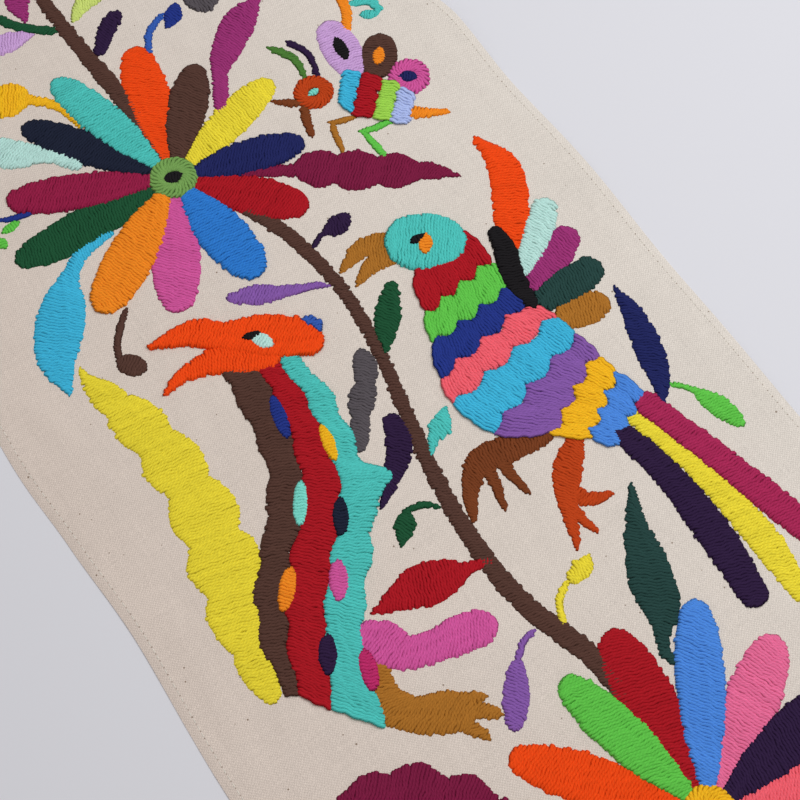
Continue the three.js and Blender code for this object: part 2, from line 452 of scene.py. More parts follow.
def thread_finish(name, twist_length):
    """Dyed cotton thread: twisting plies with painted shade between them, fibres lying unevenly along it.
    """
    material, start, shader = new_finish(name)
    dye = start.node("ShaderNodeAttribute", {"attribute_name": "thread_colour"}, out="Color")
    strand = start.node("ShaderNodeAttribute", {"attribute_name": "strand"}, out="Vector")
    run = start.node("ShaderNodeSeparateXYZ", sockets={0: strand}, out="X")
    turn = start.node("ShaderNodeSeparateXYZ", sockets={0: strand}, out="Y")
    number = start.node("ShaderNodeSeparateXYZ", sockets={0: strand}, out="Z")
    twist = start.math("SINE", (run * (1 / twist_length) + turn * 2 + number * 0.62) * (2 * math.pi))
    lay_place = start.node("ShaderNodeCombineXYZ", sockets={0: run * 0.35, 1: number * 7.3 + turn * 7})
    lay = start.node("ShaderNodeTexNoise", sockets={"Vector": lay_place, "Scale": 1.0, "Detail": 2.0})
    place = start.node("ShaderNodeTexCoord", out="Object")
    fibre = start.node("ShaderNodeTexNoise", sockets={"Vector": place, "Scale": 2200.0, "Detail": 2.0})
    # The twist term is painted shade in the grooves between the plies. The lay term is uneven tone along
    # each stitch and painted shade where neighbouring strands part. Fibre is the cotton's own tone.
    shade = 0.62 + twist * 0.06 + fibre * 0.3 + lay * 0.46
    shade_colour = start.node("ShaderNodeCombineColor", sockets={0: shade, 1: shade, 2: shade})
    start.mix(1.0, dye, shade_colour, "MULTIPLY").feed(shader, "Base Color")
    bump = {"Height": twist * 0.5 + fibre + lay * 1.6, "Strength": 0.6, "Distance": 0.15 * MM}
    start.node("ShaderNodeBump", sockets=bump).feed(shader, "Normal")
    (0.6 + fibre * 0.2).feed(shader, "Roughness")
    shader.inputs["Specular IOR Level"].default_value = 0.06
    return material


def seam_row(side, other):
    """Stitches along one edge of the runner, and the matching ones along the opposite edge."""
    reach = side / 2 - SEAM_INSET
    count = int(2 * reach / SEAM_PITCH)
    middles = (np.arange(count) + 0.5) * 2 * reach / count - reach
    beside = np.full(count, other / 2 - SEAM_INSET)
    return middles - SEAM_STITCH / 2, middles + SEAM_STITCH / 2, beside


SEAM_TWIST = 0.7
ivory = linear(244, 238, 226)
seams = []
begin, finish, beside = seam_row(LENGTH, WIDTH)
for side in (-beside, beside):
    ends = [np.stack(laid(along, side), 1) for along in (begin, finish)]
    seams.append(stitches(*ends, ivory, -SEAM_SINK))
begin, finish, beside = seam_row(WIDTH, LENGTH)
for side in (-beside, beside):
    ends = [np.stack(laid(side, along), 1) for along in (begin, finish)]
    seams.append(stitches(*ends, ivory, -SEAM_SINK))
seam_cotton = thread_finish("ivory_sewing_cotton", SEAM_TWIST)
seam_piece = sew("hem_stitching", seams, SEAM_THREAD, seam_cotton, hem_top)


# Stem. A winding brown stem along the middle of the runner, which carries the flowers and leaves.
# It is worked in slanting satin stitch: strands of embroidery cotton laid side by side, edge to edge.
YARN = {"width": 3.0, "height": 0.5}
YARN_PITCH, YARN_TWIST = 1.7, 2.1
SLANT, CROSSING, EASING = 3.0, 0.15, 3.0
OVERSHOOT, RAGGED = 0.45, 0.44
ROUNDING, LEAST_WIDTH = 0.65, 0.8
LUMP_BASE, LUMP_RISE = 0.78, 0.36
STEM_LAYER = 0.05
DYE_STRENGTH = 1.28
DYES = {
    name: np.clip(DYE_STRENGTH * linear(*screen), 0, 1)
    for name, screen in {
        "brown": (80, 54, 46),
        "chestnut": (112, 58, 30),
        "rust": (176, 62, 22),
        "ochre": (160, 104, 38),
        "red": (160, 22, 32),
        "orange": (226, 70, 18),
        "coral": (232, 92, 104),
        "amber": (228, 130, 32),
        "gold": (238, 172, 30),
        "yellow": (220, 202, 54),
        "pear": (190, 205, 110),
        "apple": (150, 200, 76),
        "lime": (92, 184, 70),
        "moss": (112, 152, 80),
        "fern": (72, 116, 50),
        "dark_green": (28, 76, 48),
        "teal": (36, 64, 60),
        "turquoise": (74, 182, 174),
        "aqua": (118, 205, 190),
        "mint": (174, 210, 202),
        "sky": (60, 170, 204),
        "blue": (44, 116, 194),
        "azure": (50, 86, 164),
        "bright_blue": (72, 128, 206),
        "royal": (34, 50, 124),
        "navy": (31, 36, 86),
        "midnight": (28, 33, 50),
        "pale_blue": (164, 178, 222),
        "purple": (126, 84, 156),
        "lilac": (190, 152, 200),
        "dark_purple": (44, 27, 58),
        "magenta": (146, 48, 108),
        "pink": (196, 82, 146),
        "rose": (216, 102, 142),
        "cerise": (178, 42, 98),
        "raspberry": (158, 38, 80),
        "burgundy": (138, 28, 64),
        "wine": (116, 26, 60),
        "grey": (82, 76, 80),
        "black": (26, 24, 26),
    }.items()
}


def smooth_line(rows, steps=160):
    """A smooth line through rows of x, y and width, in even steps."""
    knots = np.array(rows, float)
    ends = np.vstack([2 * knots[0] - knots[1], knots, 2 * knots[-1] - knots[-2]])
    place = np.linspace(0, len(knots) - 1, steps)
    knot = np.minimum(place.astype(int), len(knots) - 2)
    share = (place - knot)[:, None]
    a, b, c, d = (ends[knot + step] for step in range(4))
    line = b + share / 2 * (c - a + share * (2 * a - 5 * b + 4 * c - d + share * (3 * b - a - 3 * c + d)))
    return at_share(line, np.linspace(0, 1, steps))


def run_along(line):
    return np.concatenate([[0], np.cumsum(np.hypot(*np.diff(line[:, :2], axis=0).T))])


def across(line):
    """The direction to the left of a line, at each of its points."""
    ahead = np.gradient(line[:, :2], axis=0)
    ahead /= np.hypot(*ahead.T)[:, None]
    return np.stack([-ahead[:, 1], ahead[:, 0]], 1)


def at_share(line, share):
    """Points at given shares of a line's length."""
    run = run_along(line)
    return np.stack([np.interp(share * run[-1], run, column) for column in line.T], 1)


def satin(left, right, dye, slant, layer, ragged=RAGGED):
    """Stitches from one edge of a shape to the other, with neighbours crossed a little."""
    span = (run_along(left)[-1] + run_along(right)[-1]) / 2
    count = max(2, round(span / YARN_PITCH))
    share = (np.arange(count) + 0.5) / count
    ease = np.minimum(1, np.minimum(share, 1 - share) * span / (EASING * slant))
    lean = (slant * ease + random.normal(0, CROSSING, count)) / span
    start = at_share(left, np.clip(share + lean, 0, 1))
    end = at_share(right, np.clip(share - lean, 0, 1))
    return stitches(start, end, DYES[dye], layer, OVERSHOOT, ragged)


def ribbon(dye, sections, slant=SLANT, lumps=0, layer=0.0, ragged=RAGGED):
    """A shape along a smooth line of x, y and width, with round ends and lumps along its edges."""
    line = smooth_line(sections)
    run = run_along(line)
    half = np.maximum(line[:, 2] - 2 * OVERSHOOT, LEAST_WIDTH) / 2
    for distance, end in ((run, half[0]), (run[-1] - run, half[-1])):
        half = half * np.sqrt(1 - (1 - np.clip(distance / (ROUNDING * end), 0, 1)) ** 2)
    aside = across(line)
    if lumps:
        half = half * (LUMP_BASE + LUMP_RISE * np.abs(np.sin(lumps * math.pi * run / run[-1])))
    left, right = line[:, :2] + aside * half[:, None], line[:, :2] - aside * half[:, None]
    return satin(left, right, dye, slant, layer, ragged)


embroidery_cotton = thread_finish("embroidery_cotton", YARN_TWIST)


def embroider(name, fills):
    return sew(name, fills, YARN, embroidery_cotton, cloth_top)


STEM_LENGTHS = [  # rows of x, y and width
    [
        (-474, -10, 5), (-430, 2, 7), (-390, -6, 8), (-345, -16, 8.5), (-290, -16, 9.5), (-240, -14, 11.5),
        (-198, -16, 12),
    ],
    [
        (-176, -8, 8.5), (-146, 5, 8.5), (-112, 16, 8.5), (-72, 20, 8), (-34, 16, 8), (10, 6, 8.5),
        (52, -3, 9), (92, -7, 10), (130, -5, 11), (170, 6, 11.5), (210, 8, 11), (252, 6, 10),
    ],
    [(276, 6, 8), (320, 14, 8), (370, 12, 7), (420, 2, 6.5), (472, 8, 4.5)],
]
stems = [ribbon("brown", rows, layer=STEM_LAYER) for rows in STEM_LENGTHS]
stem_piece = embroider("embroidered_stem", stems)


# Flowers. Two large open flowers on the stem, and a small one towards each end of the runner. Each
# has long petals in satin stitch, every one in another colour, round a swirled ring with a dark eye.
SWIRL_PITCH, SWIRL_BOW, SWIRL_RAGGED = 3.1, 0.1, 0.6 * RAGGED
SPOT_SHARES = (-1, -0.5, 0, 0.5, 1)
SPOT_EXTRA, SPOT_NARROWING = 1.2, 0.45
SPOT_SLANT, SPOT_RAGGED = 0.6, 0.15


def rosette(dye, centre, inner, outer, swirl, layer):
    """A ring of stitches that curl round its middle."""
    count = round(2 * math.pi * outer / SWIRL_PITCH)
    angle = np.arange(count) * 2 * math.pi / count

    def rim(radius, angles):
        return np.array(centre) + radius * np.stack([np.cos(angles), np.sin(angles)], 1)

    ends = rim(inner, angle + swirl), rim(outer, angle)
    fill = stitches(*ends, DYES[dye], layer, OVERSHOOT, SWIRL_RAGGED)
    fill["bow"] = np.full(count, SWIRL_BOW * swirl * outer)
    return fill


def spot(dye, centre, long, short, turn, layer):
    """A small oval filled with stitches across it."""
    way = math.radians(turn)
    step = np.array([math.cos(way), math.sin(way)]) * long / 2
    widest = short + SPOT_EXTRA
    rows = [
        (*(np.array(centre) + step * share), widest * (1 - SPOT_NARROWING * share**2))
        for share in SPOT_SHARES
    ]
    return ribbon(dye, rows, SPOT_SLANT, layer=layer, ragged=SPOT_RAGGED)


PETAL_SHAPE = [(0, 0.34), (0.3, 0.85), (0.6, 1.0), (0.84, 0.84), (1, 0.46)]  # shares of reach and width
PETAL_SLANTS, PETAL_LAYERS = [2.5, 5.0, 3.5], [0.2, 0.8]
PETAL_TUCK = 2
CENTRE_HOLE, CENTRE_SWIRL, CENTRE_LAYER = 0.3, 1.2, 1.1
EYE_LONG, EYE_SHORT, EYE_TURN, EYE_LAYER = 0.75, 0.6, 80, 1.4


def petal(dye, centre, angle, reach, width, ring, number):
    """A club-shaped petal, narrow at the ring and round at its tip."""
    way = np.array([math.cos(math.radians(angle)), math.sin(math.radians(angle))])
    root = ring - PETAL_TUCK
    rows = [
        (*(np.array(centre) + way * (root + (reach - root) * distance)), width * share)
        for distance, share in PETAL_SHAPE
    ]
    return ribbon(dye, rows, PETAL_SLANTS[number % 3], layer=PETAL_LAYERS[number % 2])


def flower(centre, ring, petals, ring_dye, eye_dye):
    """petals: rows of dye, angle in degrees, reach and width."""
    fills = [
        petal(dye, centre, angle, reach, width, ring, number)
        for number, (dye, angle, reach, width) in enumerate(petals)
    ]
    fills.append(rosette(ring_dye, centre, CENTRE_HOLE * ring, ring, CENTRE_SWIRL, CENTRE_LAYER))
    fills.append(spot(eye_dye, centre, EYE_LONG * ring, EYE_SHORT * ring, EYE_TURN, EYE_LAYER))
    return fills


FIRST_FLOWER = [
    ("yellow", 107, 84, 23),
    ("navy", 74, 76, 23),
    ("red", 41, 78, 26),
    ("blue", 4, 80, 28),
    ("pink", -30, 85, 27),
    ("amber", -57, 92, 28),
    ("dark_green", -91, 99, 25),
    ("burgundy", -115, 93, 24),
    ("midnight", -146, 94, 22),
    ("turquoise", -167, 97, 23),
    ("orange", 163, 93, 26),
    ("brown", 139, 77, 23),
]
SECOND_FLOWER = [
    ("red", 171, 100, 30),
    ("lime", 191, 94, 24),
    ("orange", 219, 98, 25),
    ("yellow", 246, 84, 24),
    ("teal", 272, 88, 24),
    ("sky", 299, 92, 25),
    ("burgundy", 326, 94, 24),
    ("gold", 352, 96, 24),
    ("navy", 18, 92, 24),
    ("turquoise", 45, 90, 24),
    ("coral", 71, 88, 23),
    ("dark_purple", 97, 90, 25),
    ("rose", 121, 96, 27),
    ("bright_blue", 145, 106, 25),
]
SMALL_FLOWER_DYES = ["red", "gold", "purple", "lime", "orange", "royal", "pink", "turquoise"]
SMALL_RING, SMALL_REACH, SMALL_WIDTH, SMALL_TURN = 9, 46, 17, 20
SMALL_PLACES = [((-424, 84), 0), ((424, -84), 3)]  # centre, and which dye comes first
flowers = flower((-185.5, -18), 13.5, FIRST_FLOWER, "moss", "black")
flowers += flower((264, 5), 14, SECOND_FLOWER, "gold", "midnight")
small_flowers = []
for centre, first in SMALL_PLACES:
    dyes = SMALL_FLOWER_DYES[first:] + SMALL_FLOWER_DYES[:first]
    angles = SMALL_TURN + np.arange(len(dyes)) * 360 / len(dyes)
    petals = [(dye, angle, SMALL_REACH, SMALL_WIDTH) for dye, angle in zip(dyes, angles)]
    small_flowers += flower(centre, SMALL_RING, petals, "yellow", "brown")
flower_piece = embroider("embroidered_flowers", flowers)
small_flower_piece = embroider("embroidered_small_flowers", small_flowers)


# Leaves. Pointed, round-ended and lumpy leaves in satin stitch, and sprouts on thin stalks, spread
# over the ground between the larger figures. A stalk is a narrow line of short slanting stitches.
LEAVES = [  # dye, lumps along the edge, rows of x, y and width
    ("magenta", 0, [(-265, 91, 2), (-257, 73, 19), (-243, 54, 18), (-230, 41, 10), (-207, 28, 9)]),
    ("grey", 0, [(-290, 80, 6), (-284, 64, 20), (-281, 53, 22)]),
    ("dark_purple", 0, [(-303, 15, 9), (-295, 4, 11), (-282, -10, 7)]),
    ("pear", 0, [(-316, 12, 2), (-319, 2, 11), (-311, -10, 2)]),
    ("magenta", 0, [(-354, -28, 8), (-342, -30, 14), (-327, -33, 2)]),
    ("lilac", 0, [(-317, -34, 2), (-320, -48, 15), (-322, -68, 10)]),
    ("gold", 0, [(-279, -58, 12), (-284, -68, 24), (-286, -80, 14)]),
    ("mint", 0, [(-268, -97, 12), (-252, -86, 20), (-240, -70, 10), (-222, -57, 8)]),
    (
        "sky", 0, [
            (-176, -64, 6), (-173, -84, 8), (-164, -98, 11), (-148, -112, 26), (-126, -128, 23),
            (-102, -134, 2),
        ]
    ),
    (
        "wine", 4, [
            (-152, 41, 14), (-143, 54, 23), (-130, 71, 24), (-118, 88, 21), (-107, 104, 11),
            (-95, 116, 1.5),
        ]
    ),
    ("wine", 0, [(-178, -6, 6), (-167, 16, 8), (-156, 33, 8), (-147, 46, 9)]),
    ("dark_green", 0, [(-60, 45, 6), (-49, 35, 14), (-38, 26, 13), (-27, 18, 2)]),
    ("purple", 0, [(-103, -34, 6), (-96, -20, 13), (-89, -6, 8), (-81, 14, 2)]),
    ("grey", 3, [(-36, 7, 9), (-22, 2, 13), (-8, -11, 13), (13, -26, 7)]),
    ("dark_purple", 0, [(5, -2, 10), (20, -6, 15), (32, -17, 11), (46, -35, 2)]),
    ("turquoise", 0, [(18, 25, 2), (25, 17, 12), (30, 9, 6), (36, 3, 2)]),
    (
        "red", 0, [
            (101, -5, 6), (99, -12, 6), (97, -18, 7), (95, -28, 19), (92, -42, 24), (91, -56, 14),
            (90, -71, 1.5),
        ]
    ),
    ("navy", 0, [(11, 143, 2), (30, 141, 12), (52, 135, 16), (70, 129, 11), (83, 120, 2)]),
    ("lime", 0, [(83, 139, 3), (95, 143, 11), (106, 146, 12), (115, 148, 6)]),
    (
        "teal", 0, [
            (108, 79, 2), (126, 68, 11), (150, 57, 23), (170, 50, 20), (181, 42, 9), (190, 37, 6),
            (200, 41, 5),
        ]
    ),
    ("yellow", 0, [(127, 37, 1.5), (131, 30, 11), (133, 21, 7)]),
    ("purple", 0, [(151, -26, 7), (159, -32, 12), (169, -40, 13), (178, -47, 7)]),
    ("dark_green", 0, [(54, -25, 2), (60, -30, 12), (69, -38, 2)]),
    ("dark_purple", 0, [(-110, 49, 7), (-107, 40, 13), (-108, 31, 2)]),
    ("royal", 0, [(-288, 46, 6), (-281, 40, 11), (-276, 33, 2)]),
    ("wine", 4, [(158, -138, 6), (170, -117, 29), (188, -97, 33), (208, -80, 24), (226, -66, 2)]),
    ("orange", 0, [(-380, 8, 2), (-372, 26, 17), (-360, 48, 2)]),
    ("blue", 0, [(-400, -12, 2), (-404, -34, 20), (-392, -62, 2)]),
    ("red", 3, [(-352, -56, 2), (-372, -84, 24), (-384, -118, 20), (-372, -142, 2)]),
    ("lime", 0, [(-446, 6, 2), (-462, 24, 15), (-470, 44, 2)]),
    ("pink", 0, [(-444, -10, 2), (-452, -34, 18), (-440, -58, 2)]),
    ("turquoise", 0, [(-330, 96, 2), (-346, 118, 22), (-338, 146, 2)]),
    ("amber", 0, [(-318, 60, 2), (-336, 72, 16), (-362, 76, 2)]),
    ("purple", 0, [(-420, -84, 2), (-440, -104, 20), (-446, -134, 2)]),
    ("dark_green", 0, [(-292, 112, 2), (-286, 130, 15), (-268, 142, 2)]),
    ("teal", 0, [(-300, -96, 2), (-312, -118, 18), (-300, -142, 2)]),
    ("rose", 0, [(-258, -112, 2), (-252, -130, 16), (-234, -142, 2)]),
    ("magenta", 0, [(378, 18, 2), (390, 42, 18), (382, 68, 2)]),
    ("teal", 0, [(350, 116, 2), (376, 128, 19), (404, 122, 2)]),
    ("amber", 0, [(398, -4, 2), (384, -26, 16), (366, -36, 2)]),
    ("royal", 3, [(330, -92, 2), (342, -116, 22), (366, -132, 22), (386, -142, 2)]),
    ("coral", 0, [(440, 4, 2), (452, -14, 15), (470, -26, 2)]),
    ("lime", 0, [(300, -108, 2), (290, -128, 17), (270, -140, 2)]),
    ("dark_purple", 0, [(452, 20, 2), (462, 42, 16), (456, 66, 2)]),
    ("sky", 0, [(300, 112, 2), (318, 132, 18), (340, 142, 2)]),
    ("turquoise", 0, [(-428, 4, 2), (-420, 18, 13), (-428, 34, 2)]),
    ("gold", 3, [(-470, -60, 2), (-478, -84, 18), (-470, -112, 18), (-452, -138, 2)]),
    ("wine", 0, [(-402, -84, 2), (-404, -108, 17), (-412, -136, 2)]),
    ("sky", 0, [(-330, -70, 2), (-338, -92, 16), (-332, -114, 2)]),
    ("royal", 0, [(-470, 132, 2), (-450, 144, 14), (-426, 142, 2)]),
    ("fern", 0, [(-404, 140, 2), (-384, 148, 13), (-362, 146, 2)]),
    ("gold", 0, [(346, 62, 2), (356, 82, 15), (350, 104, 2)]),
    ("red", 0, [(470, -58, 2), (480, -82, 13), (473, -110, 2)]),
    ("azure", 0, [(412, -4, 2), (422, -19, 12), (418, -34, 2)]),
    ("orange", 0, [(346, -70, 2), (358, -82, 13), (364, -98, 2)]),
    ("aqua", 0, [(440, -138, 2), (460, -144, 14), (482, -136, 2)]),
    ("pear", 0, [(420, 140, 2), (442, 146, 13), (464, 140, 2)]),
]
STALKS = [  # dye, width, points along the stalk
    ("lime", 2.6, [(75, 131), (79, 136), (86, 140)]),
    ("yellow", 3.8, [(132, 20), (138, 10), (150, 4)]),
    ("purple", 3.2, [(143, -9), (145, -18), (151, -26)]),
    ("dark_green", 3.4, [(62, -10), (56, -17), (54, -26)]),
    ("dark_purple", 3, [(-108, 33), (-106, 27), (-103, 22)]),
    ("purple", 2.6, [(-86, 2), (-82, 9), (-78, 16)]),
    ("azure", 3.8, [(-286, 36), (-279, 23), (-267, 15)]),
    ("brown", 3.4, [(-129, -83), (-115, -97), (-103, -103)]),
    ("royal", 2.8, [(-211, -92), (-213, -102), (-218, -113)]),
    ("turquoise", 4.8, [(-229, 131), (-225, 141), (-216, 143), (-214, 135)]),
    ("amber", 6.3, [(-242, 131), (-226, 127), (-213, 118)]),
    ("dark_green", 5.8, [(-348, -50), (-328, -39), (-311, -22)]),
    ("gold", 6.3, [(-280, -61), (-264, -47), (-244, -42)]),
    ("orange", 3.6, [(-380, 9), (-383, 2), (-388, -5)]),
    ("dark_purple", 3.2, [(452, 21), (450, 13), (446, 6)]),
]
BUDS = [  # dye, middle x and y, length, width, heading in degrees
    ("brown", -98, -98, 15, 12, 40),
    ("lime", -210, -109, 10, 5, 100),
    ("lime", -203, -118, 6, 5, 0),
    ("turquoise", -216, 136, 8, 6, 60),
]
LEAF_LAYER, STALK_LAYER, BUD_LAYER = 0.15, 0.1, 0.2
leaves = [ribbon(dye, rows, lumps=lumps, layer=LEAF_LAYER) for dye, lumps, rows in LEAVES]
sprouts = [
    ribbon(dye, [(x, y, width) for x, y in points], layer=STALK_LAYER) for dye, width, points in STALKS
]
sprouts += [spot(dye, (x, y), long, short, turn, BUD_LAYER) for dye, x, y, long, short, turn in BUDS]
leaf_piece = embroider("embroidered_leaves", leaves)
sprout_piece = embroider("embroidered_sprouts", sprouts)


# Banded bird. A bird in profile with a round head, a body of wavy bands, a fan of wing feathers, two
# clawed feet and three long tail feathers. The body's stitches run along it, from band to band.
BIRD_NECK = np.array([-60.0, 76.0])
BIRD_BANDS = [  # dye up to here, x and y on the back, x and y on the belly
    (None, -3, 20, 2, -20),
    ("red", 19, 21, 26, -26),
    ("lime", 39, 17, 43, -35),
    ("royal", 52, 22, 62, -43),
    ("coral", 67, 29, 79, -46),
    ("sky", 83, 32, 103, -39),
    ("purple", 98, 33, 122, -14),
    ("gold", 113, 36, 135, 1),
    ("bright_blue", 131, 39, 146, 9),
]
BIRD_FEATHERS = [  # dye, rows of x, y and width
    ("orange", [(27, 30, 10), (16, 38, 17), (0, 50, 21), (-25, 63, 19), (-51, 61, 3)]),
    ("mint", [(36, 30, 9), (22, 51, 17), (6, 70, 14)]),
    ("magenta", [(47, 28, 10), (38, 50, 20), (29, 70, 15)]),
    ("teal", [(56, 27, 13), (56, 48, 21), (55, 69, 16)]),
    ("ochre", [(70, 30, 16), (73, 45, 20), (75, 59, 15)]),
    ("raspberry", [(132, 37, 14), (180, 49, 16), (230, 60, 17), (276, 70, 13)]),
    ("yellow", [(136, 27, 9), (180, 36, 12), (225, 40, 18), (268, 37, 11)]),
    ("dark_purple", [(138, 16, 12), (175, 22, 16), (215, 21, 20), (257, 16, 15)]),
]
BIRD_WING_BAR = [(4, 34, 8), (18, 32, 13), (36, 25, 14), (57, 24, 7)]
BIRD_FEET_AND_BEAK = [
    ("chestnut", [(122, -14, 9), (116, -36, 17), (114, -55, 15), (126, -69, 8), (139, -76, 4)]),
    ("chestnut", [(116, -44, 9), (128, -45, 6), (143, -43, 2)]),
    ("chestnut", [(118, -53, 8), (130, -55, 6), (143, -59, 2)]),
    ("rust", [(129, -2, 9), (144, -20, 16), (160, -31, 10), (182, -42, 2)]),
    ("rust", [(152, -26, 9), (163, -20, 8), (167, -8, 3)]),
    ("rust", [(154, -29, 8), (166, -30, 6), (180, -28, 2)]),
    ("ochre", [(-20, -15, 15), (-27, -29, 13), (-25, -41, 8), (-21, -51, 2)]),
    ("ochre", [(-14, -16, 15), (-16, -29, 12), (-13, -40, 7), (-9, -48, 2)]),
]
BIRD_HEAD = [(-23, -19, 22), (-16, -9, 34), (-8, 3, 35), (1, 17, 22)]
BIRD_EYE = [  # dye, middle x and y, length, width, heading in degrees, layer
    ("amber", -9, -2.5, 11, 9, 145, 2.1),
    ("black", -14, -4.5, 7, 6, 100, 2.4),
]
BAND_WAVES, BAND_SHIFT, BAND_BOW, BAND_SLANT = 3.5, 1.3, 0.07, 0.4
BIRD_BAND_DEPTH, HEAD_SLANT = 4.8, 1.5
FEATHER_LAYERS, LOW_LAYER = [0.1, 0.55], 0.05
BODY_LAYER, HEAD_LAYER, BAR_LAYER = 0.7, 1.3, 1.4


def moved(rows, origin):
    """Rows of x, y and width, set down at a place on the cloth."""
    return [(row[0] + origin[0], row[1] + origin[1], *row[2:]) for row in rows]


def band_edge(x_back, y_back, x_belly, y_belly, number, origin, depth):
    """A wavy line across the body, from the back to the belly."""
    share = np.linspace(0, 1, 60)[:, None]
    back, belly = np.array([x_back, y_back]) + origin, np.array([x_belly, y_belly]) + origin
    line = back + (belly - back) * share
    ahead = np.array([-(belly - back)[1], (belly - back)[0]]) / np.hypot(*(belly - back))
    wave = np.abs(np.sin(share * math.pi * BAND_WAVES + number * BAND_SHIFT)) - 0.5
    return line + ahead * wave * depth


def bands(rows, origin, depth, layer):
    """Fills each band between its two wavy edges. Stitches near the body's outline bow outwards."""
    edges = [band_edge(*row[1:], number, origin, depth) for number, row in enumerate(rows)]
    fills = []
    for before, after, row in zip(edges, edges[1:], rows[1:]):
        fill = satin(before, after, row[0], BAND_SLANT, layer)
        length = np.hypot(*(fill["end"] - fill["start"]).T)
        fill["bow"] = -BAND_BOW * length * np.linspace(-1, 1, len(length)) ** 3
        fills.append(fill)
    return fills


bird = [
    ribbon(dye, moved(rows, BIRD_NECK), layer=FEATHER_LAYERS[number % 2])
    for number, (dye, rows) in enumerate(BIRD_FEATHERS)
]
bird += [ribbon(dye, moved(rows, BIRD_NECK), layer=LOW_LAYER) for dye, rows in BIRD_FEET_AND_BEAK]
bird.append(ribbon("black", moved(BIRD_WING_BAR, BIRD_NECK), layer=BAR_LAYER))
bird += bands(BIRD_BANDS, BIRD_NECK, BIRD_BAND_DEPTH, BODY_LAYER)
bird.append(ribbon("turquoise", moved(BIRD_HEAD, BIRD_NECK), HEAD_SLANT, layer=HEAD_LAYER))
for dye, x, y, long, short, turn, layer in BIRD_EYE:
    bird.append(spot(dye, BIRD_NECK + (x, y), long, short, turn, layer))
bird_piece = embroider("embroidered_banded_bird", bird)


# Long-beaked bird. A bird with an open beak, a body of three long wavy stripes with spots over them,
# a scalloped yellow plume below and two stout feet, all in satin stitch across each shape.
STRIPE_EDGES = [  # one line for each edge of the three stripes, from the neck to the tail
    [(-57, -24), (-28, -20), (0, -24), (20, -28), (34, -20), (42, -35), (62, -53), (98, -82), (141, -98)],
    [(-58, -32), (-25, -33), (5, -39), (34, -52), (60, -77), (90, -100), (119, -114)],
    [(-61, -43), (-28, -48), (2, -57), (29, -75), (53, -99), (83, -116), (103, -124)],
    [(-66, -61), (-33, -65), (-4, -72), (23, -92), (48, -114), (75, -126), (101, -128)],
]
STRIPE_WAVE, STRIPE_WAVE_LENGTH, STRIPE_SLANT = 1.1, 27.0, 1.5
STRIPE_DYES = ["turquoise", "red", "brown"]
STRIPE_LAYER, SPOT_LAYER = 0.7, 1.5
STRIPE_SPOTS = [  # dye, middle x and y, length, width, heading in degrees
    ("royal", -27, -50, 24, 8, -14),
    ("gold", 0, -37, 20, 7, -12),
    ("aqua", 20, -68, 23, 8, -34),
    ("midnight", 38, -55, 19, 9, -30),
    ("pink", 66, -75, 20, 10, -30),
    ("amber", 55, -99, 22, 9, -42),
    ("dark_purple", 95, -101, 19, 10, -30),
    ("cerise", 113, -89, 20, 9, -20),
]
LONG_BEAKED_EYE = [  # dye, middle x and y, length, width, heading in degrees, layer
    ("mint", -70, -33, 12, 9, 35, 2.2),
    ("black", -75.5, -36, 8, 6, 80, 2.5),
]
LONG_BEAKED_PARTS = [  # dye, lumps along the edge, layer, rows of x, y and width
    (
        "yellow", 7, 0.05, [
            (-113, -122, 2), (-102, -122, 8), (-84, -117, 20), (-54, -111, 27), (-20, -110, 30),
            (10, -114, 34), (38, -121, 33), (62, -130, 24), (82, -134, 16), (100, -135, 11),
        ]
    ),
    (
        "pink", 0, 0.1, [
            (93, -82, 15), (106, -75, 24), (117, -67, 18), (122, -52, 18), (125, -36, 21),
            (128, -23, 16),
        ]
    ),
    ("ochre", 0, 0.05, [(112, -84, 12), (130, -91, 19), (145, -82, 19), (153, -68, 22), (160, -58, 16)]),
    ("ochre", 0, 0.05, [(149, -62, 8), (154, -54, 7), (156, -49, 5)]),
    ("ochre", 0, 0.05, [(158, -58, 9), (164, -52, 8), (168, -48, 5)]),
    ("ochre", 0, 0.05, [(162, -66, 9), (169, -62, 7), (174, -60, 4)]),
    ("orange", 0, 1.0, [(-60, -28, 20), (-68, -46, 22), (-75, -62, 16), (-77, -78, 9), (-73, -93, 2)]),
    (
        "orange", 0, 1.5, [
            (-50, -8, 14), (-62, -17, 24), (-74, -33, 26), (-84, -48, 18), (-95, -61, 17),
            (-102, -85, 2),
        ]
    ),
    ("azure", 0, 2.1, [(-68, -8, 5), (-64, -4, 8), (-58, -4, 5)]),
]
striped = [
    ribbon(dye, rows, lumps=lumps, layer=layer) for dye, lumps, layer, rows in LONG_BEAKED_PARTS
]
stripe_lines = []
for number, points in enumerate(STRIPE_EDGES):
    line = smooth_line(points)
    wave = np.sin(run_along(line) * 2 * math.pi / STRIPE_WAVE_LENGTH + number * 2)
    stripe_lines.append(line + across(line) * (STRIPE_WAVE * wave)[:, None])
striped += [
    satin(upper_edge, lower_edge, dye, STRIPE_SLANT, STRIPE_LAYER)
    for upper_edge, lower_edge, dye in zip(stripe_lines, stripe_lines[1:], STRIPE_DYES)
]
for dye, x, y, long, short, turn in STRIPE_SPOTS:
    striped.append(spot(dye, (x, y), long, short, turn, SPOT_LAYER))
for dye, x, y, long, short, turn, layer in LONG_BEAKED_EYE:
    striped.append(spot(dye, (x, y), long, short, turn, layer))
striped_piece = embroider("embroidered_striped_bird", striped)


